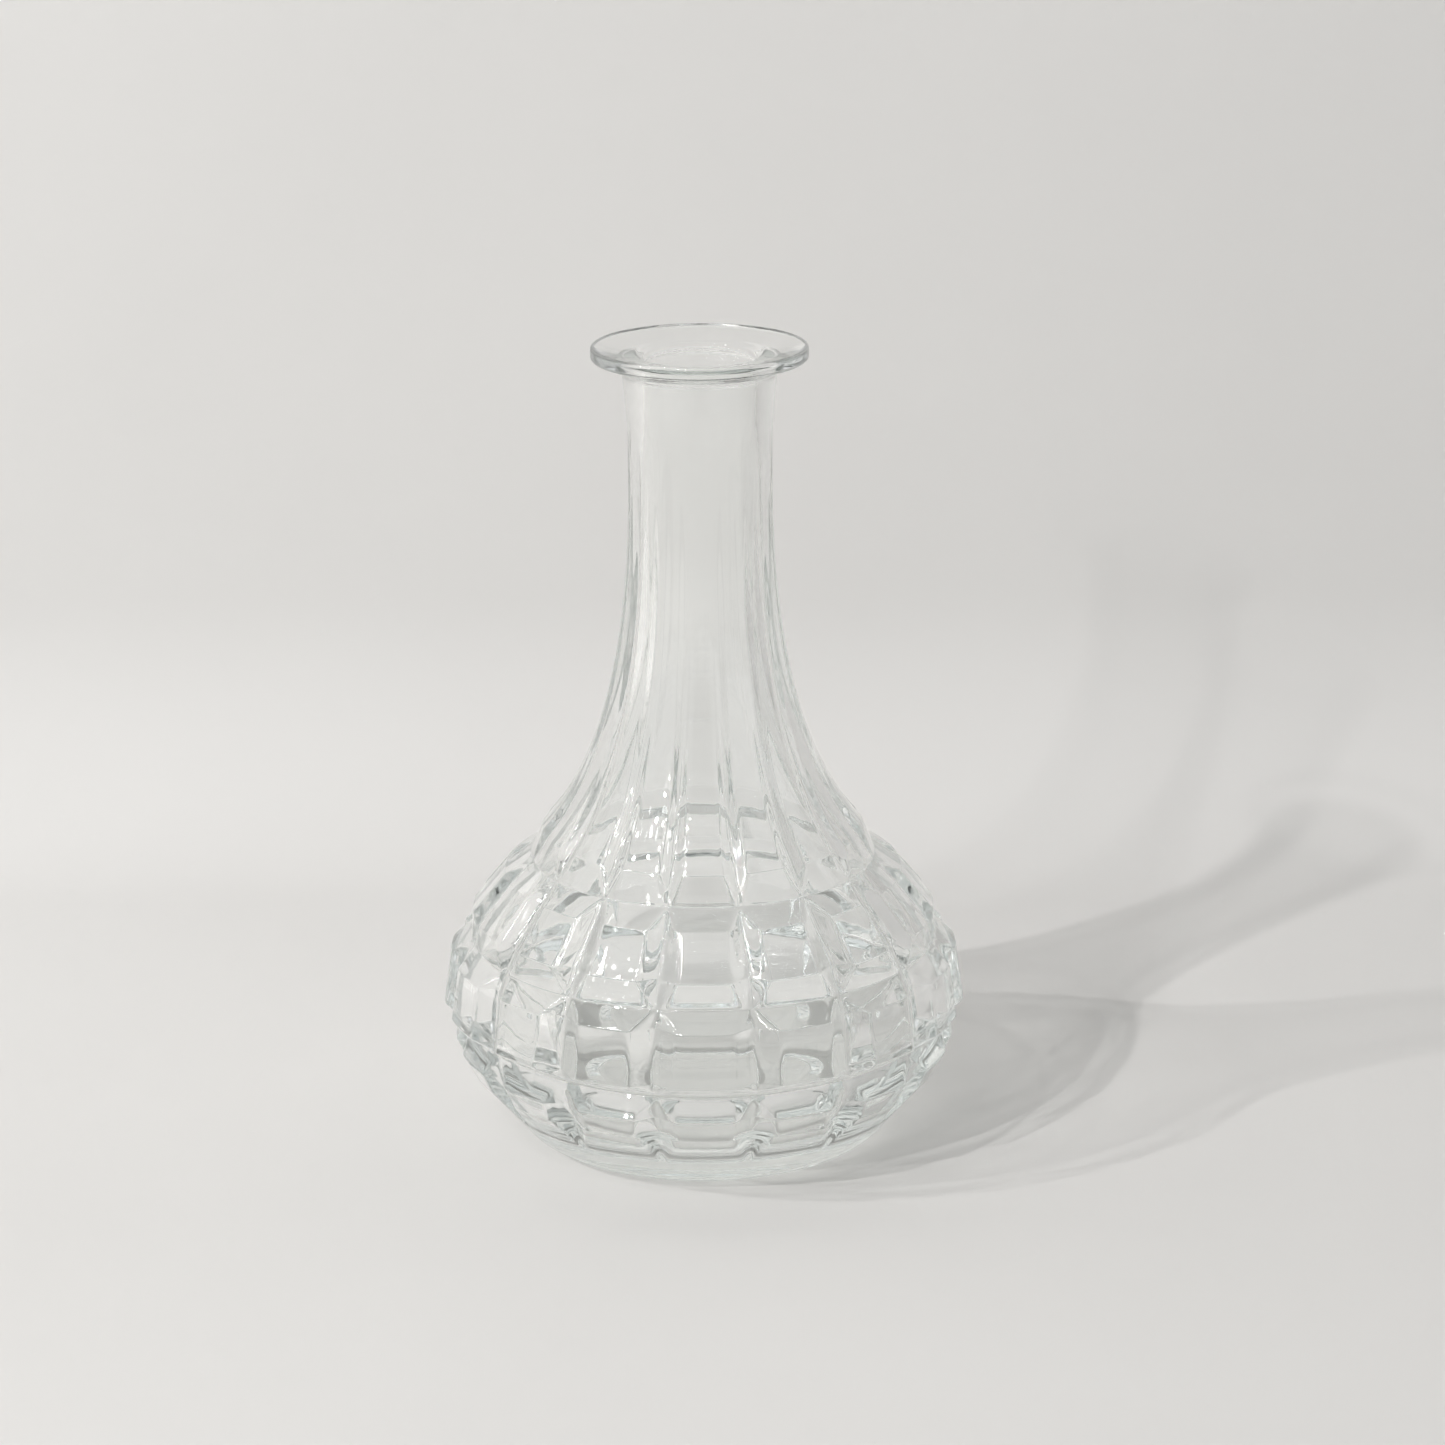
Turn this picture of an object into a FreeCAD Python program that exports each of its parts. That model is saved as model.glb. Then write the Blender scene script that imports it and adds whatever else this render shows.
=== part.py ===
import FreeCAD, Part
import math
import os

# Clear pressed-glass bud vase, one piece of glass: plain round foot, squat body with three rows of
# raised blocks, fluted neck, flat mouth flange. Millimetres. +Z up, origin at the middle of the foot.

# ---- overall -----------------------------------------------------------------------------------
HEIGHT = 140.0          # foot to the top of the mouth flange
PANELS = 16             # blocks round each row, and flutes round the neck

# ---- foot and plain skirt ----------------------------------------------------------------------
FOOT_R = 27.2           # outer edge of the flat ring that the vase stands on
FOOT_RING = 4.6         # width of that flat ring
PUNT_SLOPE = 1.5        # width of the sloping wall inside the ring
PUNT_H = 1.8            # hollow under the middle of the base
SKIRT_R = 32.0          # the skirt swells out between the foot and the blocks
SKIRT_Z = 1.8
BASE_R = 34.4           # corner where the skirt meets the blocks
BASE_Z = 4.8

# ---- block rows: radius and height of each edge of the flat block faces --------------------------
ROW3_LOW_R = 41.6       # row 3 is the lowest
ROW3_LOW_Z = 13.3
ROW3_HIGH_R = 43.7
ROW3_HIGH_Z = 17.3
ROW2_LOW_R = 45.6       # widest part of the vase
ROW2_LOW_Z = 24.0
ROW2_HIGH_R = 44.2
ROW2_HIGH_Z = 33.4
ROW1_LOW_R = 40.2
ROW1_LOW_Z = 40.8
ROW1_HIGH_R = 34.4
ROW1_HIGH_Z = 47.8
FLUTE_LOW_R = 27.8      # the flutes of the neck start here
FLUTE_LOW_Z = 55.4

# ---- ring grooves, measured square to the faces on each side --------------------------------------
RING3_DEPTH = 3.3       # between the lower two rows
RING2_DEPTH = 1.9
RING1_DEPTH = 1.6       # between the top row and the flutes

# ---- neck: narrows to the waist, then opens a little to the collar -------------------------------
WAIST_R = 12.2
WAIST_Z = 117.0
COLLAR_R = 13.1         # neck just under the flange
FLUTE_PULL = 8.0        # how far the neck keeps the slope of the shoulder
WAIST_PULL = 41.0       # how far the neck stays upright below the waist
NECK_RUNS = 7           # the curve below the waist is drawn in this many straight runs
FLARE_RUNS = 2          # and the flare above it in this many

# ---- upright grooves: height, depth, and half width at the faces, from the bottom row up ----------
GROOVE_ROW3_Z = 14.0
GROOVE_ROW3_DEPTH = 2.6
GROOVE_ROW3_HALF = 3.5
GROOVE_ROW2_LOW_Z = 24.0
GROOVE_ROW2_LOW_DEPTH = 2.8
GROOVE_ROW2_LOW_HALF = 4.0
GROOVE_ROW2_HIGH_Z = 34.0
GROOVE_ROW2_HIGH_DEPTH = 2.7
GROOVE_ROW2_HIGH_HALF = 4.0
GROOVE_ROW1_LOW_Z = 41.0
GROOVE_ROW1_LOW_DEPTH = 2.5
GROOVE_ROW1_LOW_HALF = 3.4
GROOVE_ROW1_HIGH_Z = 48.0
GROOVE_ROW1_HIGH_DEPTH = 2.3
GROOVE_ROW1_HIGH_HALF = 2.5
GROOVE_FLUTE_Z = 55.4
GROOVE_FLUTE_DEPTH = 1.8
GROOVE_FLUTE_HALF = 2.0
GROOVE_NECK_LOW_Z = 70.0
GROOVE_NECK_LOW_DEPTH = 0.9
GROOVE_NECK_LOW_HALF = 1.3
GROOVE_NECK_HIGH_Z = 106.0
GROOVE_NECK_HIGH_DEPTH = 0.4
GROOVE_NECK_HIGH_HALF = 0.75
GROOVE_END_DEPTH = -0.05  # the root leaves the glass by this much at each end
GROOVE_FADE = 8.0       # the grooves die out this far below the collar
GROOVE_LEAD = 2.4       # and come out to nothing this far above the corner of the skirt
CUT_MARGIN = 3.0        # how far the tool stands proud of the glass

# ---- mouth flange --------------------------------------------------------------------------------
FLANGE_R = 18.4
FLANGE_BAND = 2.3       # height of the upright edge, corners included
FLANGE_CORNER = 0.5     # its corners are turned over by this much
FLANGE_DROP = 1.7       # underside falls this far from the edge to the collar
COLLAR_STEP = 0.7       # small step where the flange meets the neck
LIP_DISH = 1.6          # top falls this far from the edge to the bore
LIP_BEVEL = 0.7

# ---- hollow --------------------------------------------------------------------------------------
BORE_R = 9.3
BORE_END_Z = 100.0      # the straight bore ends here and the hollow opens out
BELLY_R = 39.6          # widest part of the hollow
BELLY_Z = 25.0
BORE_PULL = 47.0        # how far the hollow stays upright below the bore
BELLY_PULL = 21.5       # and above the belly
FLOOR_R = 27.0          # flat inside floor
FLOOR_Z = 8.0
SHOULDER_RUNS = 6
HEEL_RUNS = 2

Z_AXIS = FreeCAD.Vector(0, 0, 1)
CENTRE = FreeCAD.Vector(0, 0, 0)


def pt(r, z):
    return FreeCAD.Vector(r, 0, z)


def runs(poles, count):
    """Points along a smooth curve through the first and last pole."""
    curve = Part.BezierCurve()
    curve.setPoles(poles)
    return curve.discretize(Number=count + 1)


def lines(points):
    return [Part.makeLine(a, b) for a, b in zip(points[:-1], points[1:])]


def ring_root(low, high, depth):
    """Bottom of the ring groove between two face edges."""
    along = high - low
    along.normalize()
    outward = FreeCAD.Vector(along.z, 0, -along.x)
    return (low + high) * 0.5 - outward * depth


# ---- outline of the faces, from the skirt to the collar -------------------------------------------
under_z = HEIGHT - FLANGE_BAND
step_z = under_z - FLANGE_DROP
collar_z = step_z - COLLAR_STEP
lip_r = BORE_R + LIP_BEVEL
lip_z = HEIGHT - LIP_DISH
foot_in = FOOT_R - FOOT_RING

base = pt(BASE_R, BASE_Z)
row3 = [pt(ROW3_LOW_R, ROW3_LOW_Z), pt(ROW3_HIGH_R, ROW3_HIGH_Z)]
row2 = [pt(ROW2_LOW_R, ROW2_LOW_Z), pt(ROW2_HIGH_R, ROW2_HIGH_Z)]
row1 = [pt(ROW1_LOW_R, ROW1_LOW_Z), pt(ROW1_HIGH_R, ROW1_HIGH_Z)]
flute = pt(FLUTE_LOW_R, FLUTE_LOW_Z)
waist = pt(WAIST_R, WAIST_Z)
collar = pt(COLLAR_R, collar_z)

shoulder_dir = flute - row1[1]
shoulder_dir.normalize()
throat = runs([flute, flute + shoulder_dir * FLUTE_PULL, pt(WAIST_R, WAIST_Z - WAIST_PULL), waist], NECK_RUNS)
flare = runs([waist, pt(WAIST_R, (WAIST_Z + collar_z) / 2.0), collar], FLARE_RUNS)
faces = [base] + row3 + row2 + row1 + throat + flare[1:]

# ---- one closed half-section of the glass, turned about the axis ----------------------------------
foot = [pt(0, PUNT_H), pt(foot_in - PUNT_SLOPE, PUNT_H), pt(foot_in, 0), pt(FOOT_R, 0), pt(SKIRT_R, SKIRT_Z), base]
blocks = row3 + [ring_root(row3[1], row2[0], RING3_DEPTH)]
blocks += row2 + [ring_root(row2[1], row1[0], RING2_DEPTH)]
blocks += row1 + [ring_root(row1[1], flute, RING1_DEPTH)]
band = [pt(FLANGE_R - FLANGE_CORNER, under_z), pt(FLANGE_R, under_z + FLANGE_CORNER)]
band += [pt(FLANGE_R, HEIGHT - FLANGE_CORNER), pt(FLANGE_R - FLANGE_CORNER, HEIGHT)]
mouth = [pt(COLLAR_R + COLLAR_STEP, step_z)] + band
bore = [pt(lip_r, lip_z), pt(BORE_R, lip_z - LIP_BEVEL)]
shoulder = runs(
    [pt(BORE_R, BORE_END_Z), pt(BORE_R, BORE_END_Z - BORE_PULL), pt(BELLY_R, BELLY_Z + BELLY_PULL), pt(BELLY_R, BELLY_Z)],
    SHOULDER_RUNS,
)
heel = runs(
    [pt(BELLY_R, BELLY_Z), pt(BELLY_R, (BELLY_Z + FLOOR_Z) / 2.0), pt((BELLY_R + FLOOR_R) / 2.0, FLOOR_Z), pt(FLOOR_R, FLOOR_Z)],
    HEEL_RUNS,
)
half_section = foot + blocks + throat + flare[1:] + mouth + bore + shoulder + heel[1:] + [pt(0, FLOOR_Z), pt(0, PUNT_H)]
glass = Part.Face(Part.Wire(lines(half_section))).revolve(CENTRE, Z_AXIS, 360)


# ---- upright grooves: one tapering V tool, patterned round the axis --------------------------------
def face_radius(z):
    """Radius of the faces at height z, with the ring grooves left out."""
    for a, b in zip(faces[:-1], faces[1:]):
        if a.z <= z <= b.z:
            return a.x + (b.x - a.x) * (z - a.z) / (b.z - a.z)
    return COLLAR_R


def vee(z, root_r, face_r, slope):
    out_r = face_r + CUT_MARGIN
    half = (out_r - root_r) * slope
    a = FreeCAD.Vector(root_r, 0, z)
    b = FreeCAD.Vector(out_r, half, z)
    c = FreeCAD.Vector(out_r, -half, z)
    return Part.makePolygon([a, b, c, a])


grooves = [
    (GROOVE_ROW3_Z, GROOVE_ROW3_DEPTH, GROOVE_ROW3_HALF),
    (GROOVE_ROW2_LOW_Z, GROOVE_ROW2_LOW_DEPTH, GROOVE_ROW2_LOW_HALF),
    (GROOVE_ROW2_HIGH_Z, GROOVE_ROW2_HIGH_DEPTH, GROOVE_ROW2_HIGH_HALF),
    (GROOVE_ROW1_LOW_Z, GROOVE_ROW1_LOW_DEPTH, GROOVE_ROW1_LOW_HALF),
    (GROOVE_ROW1_HIGH_Z, GROOVE_ROW1_HIGH_DEPTH, GROOVE_ROW1_HIGH_HALF),
    (GROOVE_FLUTE_Z, GROOVE_FLUTE_DEPTH, GROOVE_FLUTE_HALF),
    (GROOVE_NECK_LOW_Z, GROOVE_NECK_LOW_DEPTH, GROOVE_NECK_LOW_HALF),
    (GROOVE_NECK_HIGH_Z, GROOVE_NECK_HIGH_DEPTH, GROOVE_NECK_HIGH_HALF),
]
lead_z = BASE_Z + GROOVE_LEAD
lead_r = face_radius(lead_z)
sections = [vee(lead_z, lead_r - GROOVE_END_DEPTH, lead_r, GROOVE_ROW3_HALF / GROOVE_ROW3_DEPTH)]
for z, depth, half in grooves:
    sections.append(vee(z, face_radius(z) - depth, face_radius(z), half / depth))
end_z = collar_z - GROOVE_FADE
end_r = face_radius(end_z)
sections.append(vee(end_z, end_r - GROOVE_END_DEPTH, end_r, GROOVE_NECK_HIGH_HALF / GROOVE_NECK_HIGH_DEPTH))
tool = Part.makeLoft(sections, True, True)

pitch = 360.0 / PANELS
tools = []
for i in range(PANELS):
    copy = tool.copy()
    copy.rotate(CENTRE, Z_AXIS, (i + 0.5) * pitch)
    tools.append(copy)
glass = glass.cut(tools)
if glass.ShapeType == "Compound":
    glass = glass.Solids[0]

print("valid", glass.isValid(), "solids", len(glass.Solids), "faces", len(glass.Faces))
print("volume cm3", round(glass.Volume / 1000.0, 2))

os.makedirs("parts", exist_ok=True)
glass.exportStep("parts/glass_vase.step")
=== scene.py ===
import math
import bpy
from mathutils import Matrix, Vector


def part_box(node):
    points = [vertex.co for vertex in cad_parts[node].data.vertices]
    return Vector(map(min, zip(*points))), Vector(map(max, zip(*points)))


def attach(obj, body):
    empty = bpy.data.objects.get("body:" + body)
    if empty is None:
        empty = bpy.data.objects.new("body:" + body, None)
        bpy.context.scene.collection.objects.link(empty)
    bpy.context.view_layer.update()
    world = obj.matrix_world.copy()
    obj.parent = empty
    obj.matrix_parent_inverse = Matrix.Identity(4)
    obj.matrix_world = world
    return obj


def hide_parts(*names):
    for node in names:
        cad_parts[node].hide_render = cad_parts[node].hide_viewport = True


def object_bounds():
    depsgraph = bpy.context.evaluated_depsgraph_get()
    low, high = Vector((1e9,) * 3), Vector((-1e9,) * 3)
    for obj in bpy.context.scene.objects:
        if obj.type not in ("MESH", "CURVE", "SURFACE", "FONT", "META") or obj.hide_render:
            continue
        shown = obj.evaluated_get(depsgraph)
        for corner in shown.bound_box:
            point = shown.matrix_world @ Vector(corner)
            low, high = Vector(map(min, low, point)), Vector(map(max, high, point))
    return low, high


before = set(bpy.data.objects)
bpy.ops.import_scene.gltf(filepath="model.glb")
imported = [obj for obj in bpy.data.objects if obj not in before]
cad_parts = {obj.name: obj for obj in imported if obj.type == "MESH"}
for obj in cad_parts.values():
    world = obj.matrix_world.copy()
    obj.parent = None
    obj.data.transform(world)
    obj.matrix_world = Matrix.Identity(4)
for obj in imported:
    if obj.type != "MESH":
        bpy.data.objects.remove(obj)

cad_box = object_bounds()

# ---------------------------------------------------------------------------------------------
# Vase. One piece of clear glass pressed in a sixteen-part mould: plain round foot, squat body
# with three rows of raised blocks between V grooves, fluted neck, flat mouth flange. The edges
# are softened by fire polishing, and the hollow is smooth.
height = 140.0
low_corner, high_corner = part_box("glass_vase")
mm = (high_corner[2] - low_corner[2]) / height
foot_z = low_corner[2]

# sizes in millimetres; a corner of the outline is (radius, height above the table)
foot_radius = 27.2
foot_ring = 4.6
punt_height = 1.8
punt_slope = 3.0
skirt_corner = (32.0, 1.8)
base_corner = (34.4, 4.8)
row3_low = (41.6, 13.3)
row3_high = (43.7, 17.3)
row2_low = (45.55, 24.0)
row2_high = (44.2, 33.4)
row1_low = (40.2, 40.8)
row1_high = (34.4, 47.8)
flute_edge = (27.8, 55.4)
shoulder_pull = 8.0
waist = (12.2, 117.0)
throat_pull = 41.0
flare_pulls = (6.1, 9.2)
collar = (13.1, 135.3)
collar_step = 0.7
flange_radius = 18.35
flange_under_z = 137.75
flange_top_z = 139.95
dish_width = 1.6
dish_drop = 1.55
lip_drop = 2.5

# how deep each ring groove lies below the line from block to block
ring_depth_below_row2 = 3.3
ring_depth_below_row1 = 1.9
ring_depth_above_row1 = 1.6

# how far fire polishing has rounded the edges
block_round = 0.7
ring_round = 0.5

# the hollow, from the bore of the neck down to the inside floor
bore_radius = 9.3
bore_start_z = height - 6.0
bore_end_z = 100.0
bore_pull = 47.0
belly_radius = 39.6
belly_z = 25.0
belly_pull = 21.5
inside_floor_radius = 27.0
inside_floor_z = 8.0
inside_floor_dip = 0.2

# how closely the mesh follows each stretch
outer_step = 0.62
inner_step = 3.2
bore_step = 4.0
throat_steps = 44
flare_steps = 12
bell_steps = 34
heel_steps = 14


def bezier(a, b, c, d, count):
    line = []
    for i in range(count + 1):
        t = i / count
        s = 1.0 - t
        line.append(tuple(s * s * s * p + 3 * s * s * t * q + 3 * s * t * t * u + t * t * t * v
                          for p, q, u, v in zip(a, b, c, d)))
    return line


def softened(corners, step):
    """A line through (radius, height, rounding) corners, with a point about every step."""
    degrees_each = 9.0
    line = [Vector(corners[0][:2])]
    for before, corner, after in zip(corners[:-2], corners[1:-1], corners[2:]):
        here = Vector(corner[:2])
        rounding = corner[2]
        back = Vector(before[:2]) - here
        ahead = Vector(after[:2]) - here
        turn = math.pi - back.angle(ahead, math.pi)
        if rounding <= 0.0 or turn < 0.02:
            line.append(here)
            continue
        reach = min(rounding * math.tan(turn / 2.0), 0.48 * back.length, 0.48 * ahead.length)
        start = here + back.normalized() * reach
        end = here + ahead.normalized() * reach
        count = max(2, int(math.ceil(math.degrees(turn) / degrees_each)))
        for i in range(count + 1):
            t = i / count
            line.append(start * (1 - t) ** 2 + here * 2 * t * (1 - t) + end * t * t)
    line.append(Vector(corners[-1][:2]))
    even = [line[0]]
    for point in line[1:]:
        span = point - even[-1]
        if span.length < 1e-6:
            continue
        pieces = max(1, int(round(span.length / step)))
        start = even[-1].copy()
        for i in range(1, pieces + 1):
            even.append(start + span * (i / pieces))
    return even


def ring_root(below, above, depth):
    """Root of the ring groove between two corners, square to the line that joins them."""
    along = (Vector(above) - Vector(below)).normalized()
    root = (Vector(below) + Vector(above)) / 2.0 - Vector((along.y, -along.x)) * depth
    return root.x, root.y


def sharp(points):
    """Corners that are left as they are, without rounding."""
    return [(*point, 0.0) for point in points]


shoulder_way = (Vector(flute_edge) - Vector(row1_high)).normalized() * shoulder_pull
throat = bezier(flute_edge, tuple(Vector(flute_edge) + shoulder_way),
                (waist[0], waist[1] - throat_pull), waist, throat_steps)
flare = bezier(waist, (waist[0], waist[1] + flare_pulls[0]),
               (waist[0], waist[1] + flare_pulls[1]), collar, flare_steps)

# the whole outside from the middle of the foot up and over the lip: (radius, height, rounding)
outside = [(0.0, punt_height, 0.0), (foot_radius - foot_ring - punt_slope, punt_height, 1.2),
           (foot_radius - foot_ring, 0.0, 0.8), (foot_radius, 0.0, 1.2),
           (*skirt_corner, 5.0), (*base_corner, 1.0),
           (*row3_low, block_round), (*row3_high, block_round),
           (*ring_root(row3_high, row2_low, ring_depth_below_row2), ring_round),
           (*row2_low, block_round), (*row2_high, block_round),
           (*ring_root(row2_high, row1_low, ring_depth_below_row1), ring_round),
           (*row1_low, block_round), (*row1_high, block_round),
           (*ring_root(row1_high, flute_edge, ring_depth_above_row1), ring_round),
           (*flute_edge, 1.0)]
outside += sharp(throat[1:] + flare[1:])
outside += [(collar[0] + collar_step, collar[1] + collar_step, 0.8),
            (flange_radius, flange_under_z, 0.6), (flange_radius, flange_top_z, 0.7),
            (bore_radius + dish_width, height - dish_drop, 2.5), (bore_radius, height - lip_drop, 1.3),
            (bore_radius, bore_start_z, 0.0)]
outer_line = softened(outside, outer_step)

straight_bore = softened(sharp([(bore_radius, bore_start_z), (bore_radius, bore_end_z)]), bore_step)
bell = bezier((bore_radius, bore_end_z), (bore_radius, bore_end_z - bore_pull),
              (belly_radius, belly_z + belly_pull), (belly_radius, belly_z), bell_steps)
heel = bezier((belly_radius, belly_z), (belly_radius, (belly_z + inside_floor_z) / 2.0),
              ((belly_radius + inside_floor_radius) / 2.0, inside_floor_z),
              (inside_floor_radius, inside_floor_z), heel_steps)
inside_floor = [(inside_floor_radius * 2 / 3, inside_floor_z - inside_floor_dip / 2.0),
                (inside_floor_radius / 3, inside_floor_z - inside_floor_dip),
                (0.0, inside_floor_z - inside_floor_dip)]
inner_line = softened(sharp(straight_bore + bell[1:] + heel[1:] + inside_floor), inner_step)[1:]

# upright V grooves, sixteen round the vase: (height, depth, half the width at the face)
panels = 16
groove_table = [
    (7.2, 0.0, 0.05), (14.0, 2.6, 3.5), (24.0, 2.8, 4.0), (34.0, 2.7, 4.0),
    (41.0, 2.5, 3.4), (48.0, 2.3, 2.5), (55.4, 1.8, 2.0), (70.0, 0.9, 1.3),
    (106.0, 0.4, 0.75), (127.3, 0.0, 0.5), (140.0, 0.0, 0.5),
]
grooves_end_z = 130.0
grooves_least_radius = 11.5

# fire polishing blunts the root of a groove and softens its edges, and does more of it up the neck
neck_starts_z = 52.0
neck_full_z = 68.0
root_blunt = 0.09
root_blunt_on_neck = 0.45
edge_soft = 0.12
edge_soft_by_depth = 0.08
edge_soft_depth = 2.5
edge_soft_on_neck = 0.3

face_line = [base_corner, row3_low, row3_high, row2_low, row2_high, row1_low, row1_high]
face_table = [(z, r) for r, z in face_line + throat + flare[1:]]


def between(table, z, column):
    """Value of a column at this height, on straight lines between the rows of the table."""
    for low, high in zip(table[:-1], table[1:]):
        if low[0] <= z <= high[0]:
            t = (z - low[0]) / (high[0] - low[0])
            return low[column] + (high[column] - low[column]) * t
    return table[0][column] if z < table[0][0] else table[-1][column]


def grooved(r, z, turn):
    """Radius at this height after the upright V groove nearest to this angle is cut."""
    depth = between(groove_table, z, 1)
    if depth < 0.01:
        return r
    face = between(face_table, z, 1)
    half = between(groove_table, z, 2)
    across = abs(math.sin(turn)) * face
    up_neck = max(0.0, min(1.0, (z - neck_starts_z) / (neck_full_z - neck_starts_z)))
    blunt = (root_blunt + root_blunt_on_neck * up_neck) * half
    wall = face - depth + depth * math.sqrt(across * across + blunt * blunt) / half
    soft = edge_soft + edge_soft_by_depth * min(depth, edge_soft_depth) + edge_soft_on_neck * up_neck
    near = max(0.0, min(1.0, 0.5 + 0.5 * (wall - r) / soft))
    return wall * (1 - near) + r * near - soft * near * (1 - near)


# columns of the mesh stand closest at the root of each groove and where it meets the face
half_pitch = math.pi / panels
steps_per_half_panel = [0.0, 0.05, 0.12, 0.22, 0.33, 0.41, 0.46, 0.52, 0.62, 0.78]
columns = []
for panel in range(panels):
    groove_angle = (panel + 0.5) * 2 * half_pitch
    after_groove = [groove_angle + s * half_pitch for s in steps_per_half_panel]
    before_next = [groove_angle + (2.0 - s) * half_pitch for s in [1.0] + steps_per_half_panel[:0:-1]]
    for angle in after_groove + before_next:
        nearest = round(angle / (2 * half_pitch) - 0.5)
        columns.append((angle, angle - (nearest + 0.5) * 2 * half_pitch))

verts = []
rows = []
for number, point in enumerate(outer_line + inner_line):
    z = foot_z + point.y * mm
    if point.x < 1e-6:
        rows.append([len(verts)])
        verts.append((0.0, 0.0, z))
        continue
    on_outside = number < len(outer_line)
    cut = on_outside and point.x > grooves_least_radius and point.y < grooves_end_z
    row = []
    for angle, turn in columns:
        r = grooved(point.x, point.y, turn) if cut else point.x
        row.append(len(verts))
        verts.append((r * mm * math.cos(angle), r * mm * math.sin(angle), z))
    rows.append(row)
faces = []
for lower, upper in zip(rows[:-1], rows[1:]):
    n = max(len(lower), len(upper))
    for i in range(n):
        j = (i + 1) % n
        if len(lower) == 1:
            faces.append((lower[0], upper[j], upper[i]))
        elif len(upper) == 1:
            faces.append((lower[i], lower[j], upper[0]))
        else:
            faces.append((lower[i], lower[j], upper[j], upper[i]))

vase_mesh = bpy.data.meshes.new("pressed_glass_vase")
vase_mesh.from_pydata(verts, [], faces)
vase_mesh.validate()
vase_mesh.polygons.foreach_set("use_smooth", [True] * len(vase_mesh.polygons))
vase_mesh.update()
vase = bpy.data.objects.new("pressed_glass_vase", vase_mesh)
bpy.context.scene.collection.objects.link(vase)


def add_node(tree, kind, sockets=None, wires=None, **choices):
    """A shader node with its choices made, its sockets set and its inputs wired."""
    node = tree.nodes.new("ShaderNode" + kind)
    for name, choice in choices.items():
        setattr(node, name, choice)
    for socket, value in (sockets or {}).items():
        node.inputs[socket].default_value = value
    for socket, source in (wires or {}).items():
        tree.links.new(source, node.inputs[socket])
    return node


def add_ramp(tree, source, stops):
    """A colour ramp through (position, colour) stops, from the lowest to the highest."""
    ramp = add_node(tree, "ValToRGB", wires={"Fac": source})
    marks = ramp.color_ramp.elements
    marks[0].position, marks[0].color = stops[0]
    marks[1].position, marks[1].color = stops[-1]
    for position, colour in stops[1:-1]:
        marks.new(position).color = colour
    return ramp


# clear soda glass with a trace of grey-green, a slightly wavy pressed skin and a polished finish
glass = bpy.data.materials.new("clear_soda_glass")
glass.use_nodes = True
tree = glass.node_tree
tree.nodes.clear()
place = add_node(tree, "TexCoord")
drawn_out = add_node(tree, "Mapping", {"Scale": (1.0, 1.0, 0.22)}, {"Vector": place.outputs["Object"]})
skin = add_node(tree, "TexNoise", {"Scale": 130.0, "Detail": 2.0, "Roughness": 0.45},
                {"Vector": drawn_out.outputs["Vector"]})
wave = add_node(tree, "Bump", {"Strength": 0.16, "Distance": 0.0004}, {"Height": skin.outputs["Fac"]})
haze = add_node(tree, "TexNoise", {"Scale": 60.0, "Detail": 5.0}, {"Vector": place.outputs["Object"]})
polish = add_node(tree, "MapRange", {"From Min": 0.35, "From Max": 0.75, "To Min": 0.0, "To Max": 0.04},
                  {"Value": haze.outputs["Fac"]})
body = add_node(tree, "BsdfPrincipled",
                {"Base Color": (0.99, 0.995, 0.99, 1.0), "Transmission Weight": 1.0, "IOR": 1.5},
                {"Roughness": polish.outputs["Result"], "Normal": wave.outputs["Normal"]})
depth_tint = add_node(tree, "VolumeAbsorption", {"Color": (0.52, 0.68, 0.62, 1.0), "Density": 2.8})

# what the glass lets through to its shadow: less where light meets it aslant, and all of it where
# it lies level, at the foot and the inside floor
slant = add_node(tree, "LayerWeight", {"Blend": 0.35})
thinning = add_ramp(tree, slant.outputs["Facing"],
                    [(0.2, (0.84, 0.842, 0.84, 1.0)), (0.85, (0.35, 0.355, 0.35, 1.0))])
surface = add_node(tree, "NewGeometry")
facing = add_node(tree, "SeparateXYZ", wires={"Vector": surface.outputs["Normal"]})
level = add_node(tree, "Math", wires={0: facing.outputs["Z"]}, operation="ABSOLUTE")
flat_part = add_node(tree, "MapRange", {"From Min": 0.75, "From Max": 0.95},
                     {"Value": level.outputs["Value"]})
through_base = add_node(tree, "Mix", {"B": (1.0, 1.0, 1.0, 1.0)},
                        {"Factor": flat_part.outputs["Result"], "A": thinning.outputs["Color"]},
                        data_type="RGBA")
open_way = add_node(tree, "BsdfTransparent", wires={"Color": through_base.outputs["Result"]})
which_ray = add_node(tree, "LightPath")
mix = add_node(tree, "MixShader", wires={"Fac": which_ray.outputs["Is Shadow Ray"],
                                         1: body.outputs["BSDF"], 2: open_way.outputs["BSDF"]})
add_node(tree, "OutputMaterial", wires={"Surface": mix.outputs["Shader"],
                                        "Volume": depth_tint.outputs["Volume"]})
vase_mesh.materials.append(glass)

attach(vase, "root")
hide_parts("glass_vase")

# ---------------------------------------------------------------------------------------------
# Floor and backdrop. One sheet of pale warm-grey board that runs back under the vase and bends
# up behind it into an upright wall. Its back is left out, so that the wall never hides the vase.
floor_z = cad_box[0][2]
wall_y = 0.165
wall_top_z = 1.6
front_edge_y = -2.2
half_width = 1.8
bend = 0.05
bend_steps = 16

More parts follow.
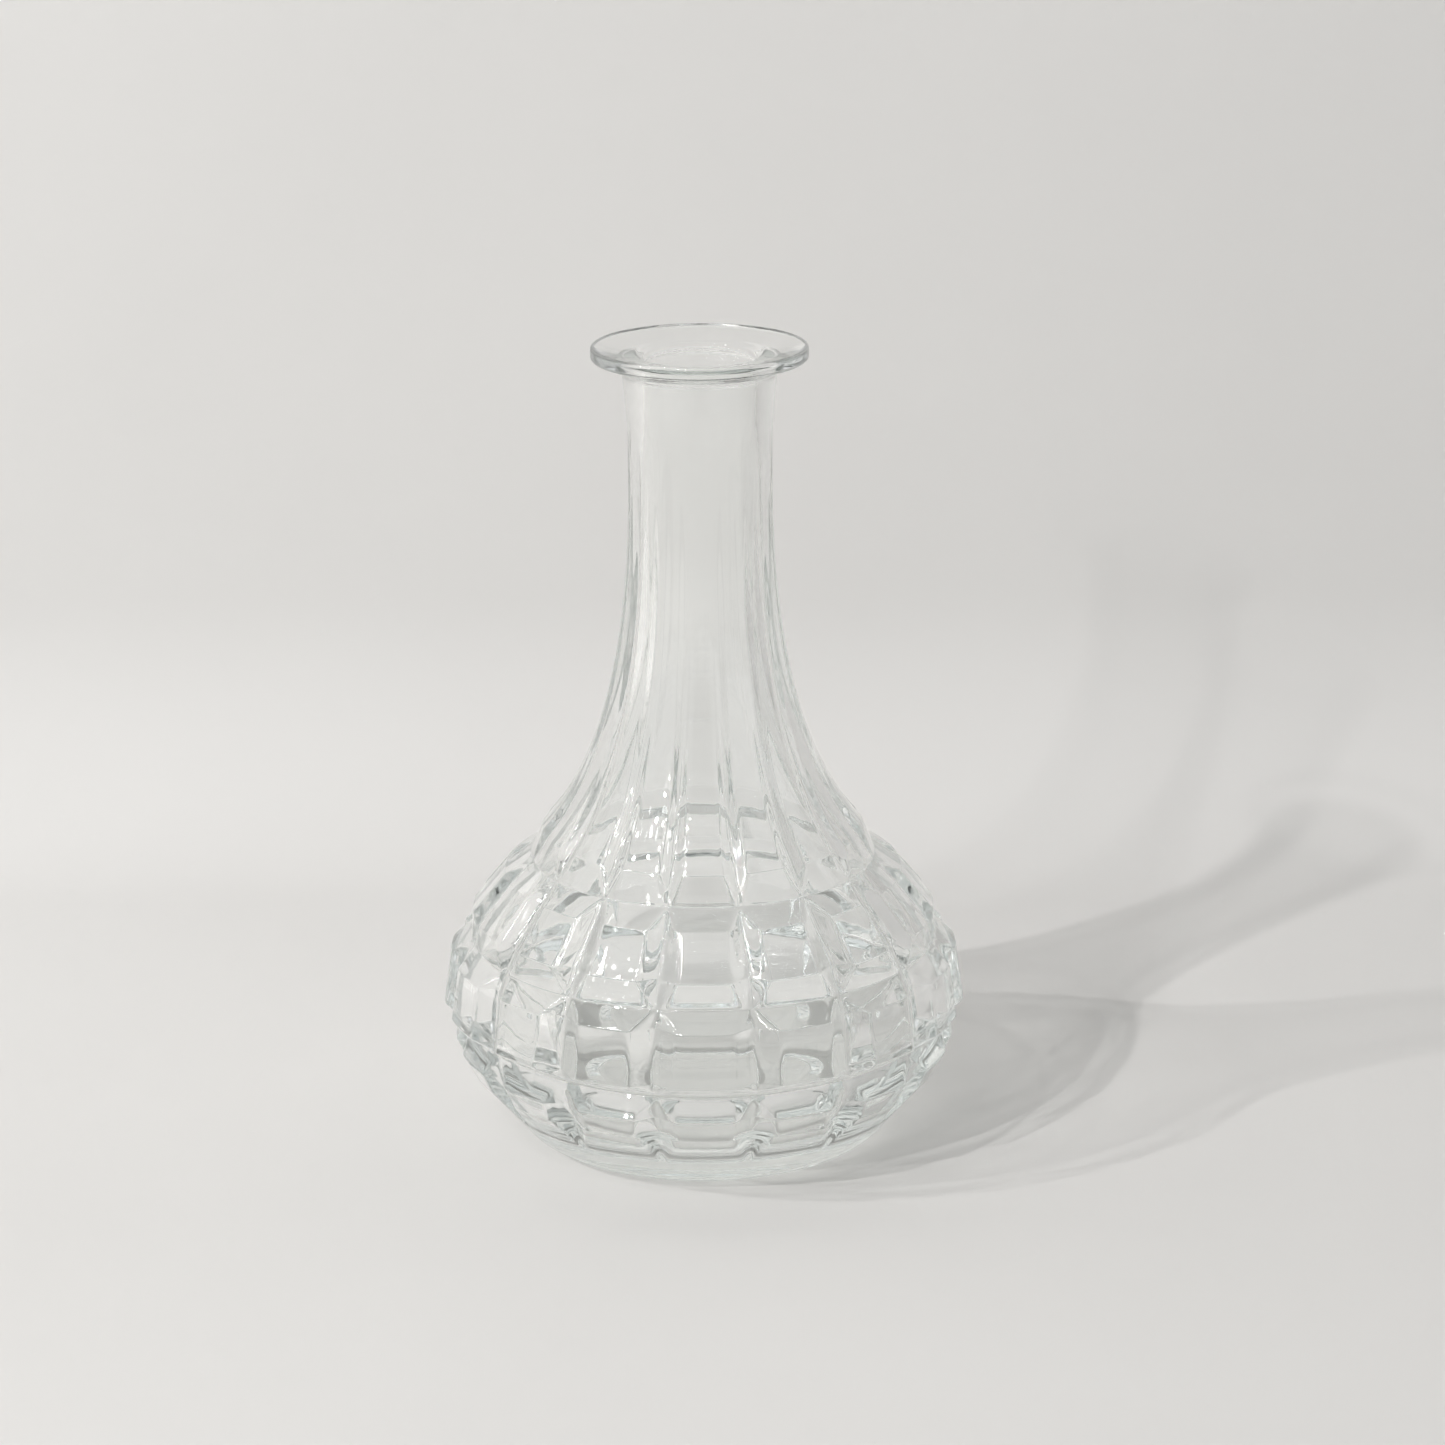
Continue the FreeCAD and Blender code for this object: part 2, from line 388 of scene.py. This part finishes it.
sheet_line = [(front_edge_y, floor_z), (wall_y - bend, floor_z)]
for i in range(1, bend_steps + 1):
    a = math.pi / 2 * i / bend_steps
    sheet_line.append((wall_y - bend + bend * math.sin(a), floor_z + bend - bend * math.cos(a)))
sheet_line.append((wall_y, wall_top_z))
sheet_verts = [(x, y, z) for y, z in sheet_line for x in (-half_width, half_width)]
sheet_faces = [(2 * i, 2 * i + 1, 2 * i + 3, 2 * i + 2) for i in range(len(sheet_line) - 1)]
sheet_mesh = bpy.data.meshes.new("pale_backdrop")
sheet_mesh.from_pydata(sheet_verts, [], sheet_faces)
sheet_mesh.polygons.foreach_set("use_smooth", [True] * len(sheet_mesh.polygons))
sheet_mesh.update()
sheet = bpy.data.objects.new("pale_backdrop", sheet_mesh)
bpy.context.scene.collection.objects.link(sheet)

board = bpy.data.materials.new("pale_matt_board")
board.use_nodes = True
tree = board.node_tree
place = add_node(tree, "TexCoord")
cloud = add_node(tree, "TexNoise", {"Scale": 6.0, "Detail": 6.0}, {"Vector": place.outputs["Object"]})
tone = add_ramp(tree, cloud.outputs["Fac"],
                [(0.3, (0.705, 0.70, 0.69, 1.0)), (0.7, (0.735, 0.73, 0.72, 1.0))])
matt = tree.nodes["Principled BSDF"]
matt.inputs["Roughness"].default_value = 0.9
matt.inputs["Specular IOR Level"].default_value = 0.1
tree.links.new(tone.outputs["Color"], matt.inputs["Base Color"])
face_side = add_node(tree, "NewGeometry")
which_ray = add_node(tree, "LightPath")
from_behind = add_node(tree, "Math", wires={0: face_side.outputs["Backfacing"],
                                            1: which_ray.outputs["Is Camera Ray"]},
                       operation="MULTIPLY")
left_out = add_node(tree, "BsdfTransparent")
one_sided = add_node(tree, "MixShader", wires={"Fac": from_behind.outputs["Value"],
                                               1: matt.outputs["BSDF"], 2: left_out.outputs["BSDF"]})
tree.links.new(one_sided.outputs["Shader"], tree.nodes["Material Output"].inputs["Surface"])
sheet_mesh.materials.append(board)

# ---------------------------------------------------------------------------------------------
# Light. A pale room all round, large soft lights for its glow, four small bare lamps at the front
# left, and a field of ceiling spots that show as points on the glass.


def toward(side_deg, up_deg):
    """Direction from the vase; side_deg runs from the front towards the left."""
    side = math.radians(side_deg)
    up = math.radians(up_deg)
    return (-math.sin(side) * math.cos(up), -math.cos(side) * math.cos(up), math.sin(up))


def ceiling_place(across, up):
    """Side and height, in degrees, of one spot of the field in the ceiling."""
    return 14 + 12 * across + 3 * up, 38 + 9 * up + 2 * (across % 2)


# the room as it shows in the glass: pale all round, and dark just where the viewer stands
room = bpy.data.worlds.new("pale_room")
bpy.context.scene.world = room
room.use_nodes = True
tree = room.node_tree
tree.nodes.clear()
look = add_node(tree, "TexCoord")
ahead = add_node(tree, "VectorMath", {1: (0.0, -0.96, 0.28)}, {0: look.outputs["Generated"]},
                 operation="DOT_PRODUCT")
front = add_node(tree, "MapRange", {"From Min": 0.80, "From Max": 1.0}, {"Value": ahead.outputs["Value"]})
shade = add_ramp(tree, front.outputs["Result"],
                 [(0.0, (0.80, 0.81, 0.82, 1.0)), (0.45, (0.68, 0.69, 0.70, 1.0)),
                  (0.80, (0.56, 0.57, 0.58, 1.0)), (0.90, (0.04, 0.045, 0.05, 1.0))])

# bare lamps as they show in the glass: (side, up, radius of the disc in radians)
spot_glare = 120.0
bare_lamps = [(31, 24, 0.016), (38, 28, 0.016), (45, 36, 0.020), (72, 34, 0.020)]
bare_lamps += [(*ceiling_place(across, up), 0.014) for across in range(6) for up in range(4)]
glare = None
for side_deg, up_deg, disc in bare_lamps:
    along = add_node(tree, "VectorMath", {1: toward(side_deg, up_deg)}, {0: look.outputs["Generated"]},
                     operation="DOT_PRODUCT")
    hit = add_node(tree, "Math", {1: math.cos(disc)}, {0: along.outputs["Value"]},
                   operation="GREATER_THAN")
    total = add_node(tree, "Math", {0: 0.0}, {1: hit.outputs["Value"]}, operation="ADD")
    if glare:
        tree.links.new(glare.outputs["Value"], total.inputs[0])
    glare = total
spark = add_node(tree, "Math", {1: spot_glare, 2: 1.0}, {0: glare.outputs["Value"]},
                 operation="MULTIPLY_ADD")
seen = add_node(tree, "Background", wires={"Color": shade.outputs["Color"],
                                           "Strength": spark.outputs["Value"]})

# the light that the room adds to matt surfaces is faint, and doesn't have the bare lamps in it
fill = add_node(tree, "Background", {"Color": (0.92, 0.95, 1.0, 1.0), "Strength": 0.05})
ray = add_node(tree, "LightPath")
mirrored_or_through = add_node(tree, "Math", wires={0: ray.outputs["Is Glossy Ray"],
                                                    1: ray.outputs["Is Transmission Ray"]},
                               operation="MAXIMUM")
direct_or_glass = add_node(tree, "Math", wires={0: mirrored_or_through.outputs["Value"],
                                                1: ray.outputs["Is Camera Ray"]},
                           operation="MAXIMUM")
before_matt = add_node(tree, "Math", {1: 0.5}, {0: ray.outputs["Diffuse Depth"]}, operation="LESS_THAN")
shown = add_node(tree, "Math", wires={0: direct_or_glass.outputs["Value"],
                                      1: before_matt.outputs["Value"]},
                 operation="MULTIPLY")
pick = add_node(tree, "MixShader", wires={"Fac": shown.outputs["Value"],
                                          1: fill.outputs["Background"], 2: seen.outputs["Background"]})
add_node(tree, "OutputWorld", wires={"Surface": pick.outputs["Shader"]})

cycles = bpy.context.scene.cycles
cycles.max_bounces = 40
cycles.transmission_bounces = 40
cycles.glossy_bounces = 16
cycles.transparent_max_bounces = 24
cycles.blur_glossy = 0.0
cycles.caustics_refractive = True
cycles.caustics_reflective = False

glow_stops_at = bpy.data.collections.new("glow_stops_at")
glow_stops_at.objects.link(sheet)


def area_light(name, at, turn, size, power, colour):
    """Rectangular light that glass shows only in its reflections, if at all."""
    light = bpy.data.lights.new(name, "AREA")
    light.shape = "RECTANGLE"
    light.size, light.size_y = size
    light.energy = power
    light.color = colour
    holder = bpy.data.objects.new(name, light)
    holder.location = at
    holder.rotation_euler = turn
    holder.visible_transmission = False
    bpy.context.scene.collection.objects.link(holder)
    return holder


def glow(name, at, turn_deg, size, power):
    """Large soft light of the room itself; clear glass doesn't hold it back, so only the board does."""
    turn = [math.radians(v) for v in turn_deg]
    holder = area_light(name, at, turn, size, power, (0.95, 0.97, 1.0))
    holder.visible_glossy = False
    holder.light_linking.blocker_collection = glow_stops_at


def lamp(name, side_deg, up_deg, away, size, power):
    """Small square lamp aimed at the middle of the vase."""
    aim = Vector((0.0, 0.0, 0.06))
    offset = Vector(toward(side_deg, up_deg)) * away
    turn = (-offset).to_track_quat("-Z", "Y").to_euler()
    area_light(name, offset + aim, turn, (size, size), power, (1.0, 0.985, 0.965))


lamp_level = 0.78
lamp_away = 2.2
spots_away = 1.9
glow("ceiling_glow", (-0.3, -0.7, 1.7), (0.0, 0.0, 0.0), (2.6, 2.2), 3.8)
glow("front_glow", (-0.6, -1.9, 0.9), (75.0, 0.0, -18.0), (2.2, 1.4), 3.1)
lamp("low_lamp_a", 31, 24, lamp_away, 0.035, 5.5 * lamp_level)
lamp("low_lamp_b", 38, 28, lamp_away, 0.035, 5.5 * lamp_level)
lamp("main_lamp", 45, 36, lamp_away, 0.04, 21.0 * lamp_level)
lamp("side_lamp", 72, 34, lamp_away, 0.04, 14.5 * lamp_level)
for across in range(5):
    for up in range(3):
        lamp(f"ceiling_spot_{across}_{up}", *ceiling_place(across, up), spots_away, 0.05,
             0.65 * lamp_level)

# ---------------------------------------------------------------------------------------------
# Camera. In front of the vase and a little above it, looking down on the mouth.
camera_away = 0.6594
camera_up = 0.2812
look_down_deg = 17.48
lean_deg = 0.3
turn_deg = -0.40
view = bpy.data.cameras.new("front_view")
view.lens = 99.97
view.sensor_width = 36.0
view.clip_start = 0.01
view.clip_end = 20.0
seat = bpy.data.objects.new("front_view", view)
seat.location = (0.0, -camera_away, foot_z + camera_up)
seat.rotation_mode = "XYZ"
seat.rotation_euler = (math.radians(90.0 - look_down_deg), math.radians(lean_deg), math.radians(turn_deg))
bpy.context.scene.collection.objects.link(seat)
bpy.context.scene.camera = seat
bpy.context.scene.view_settings.view_transform = "Standard"
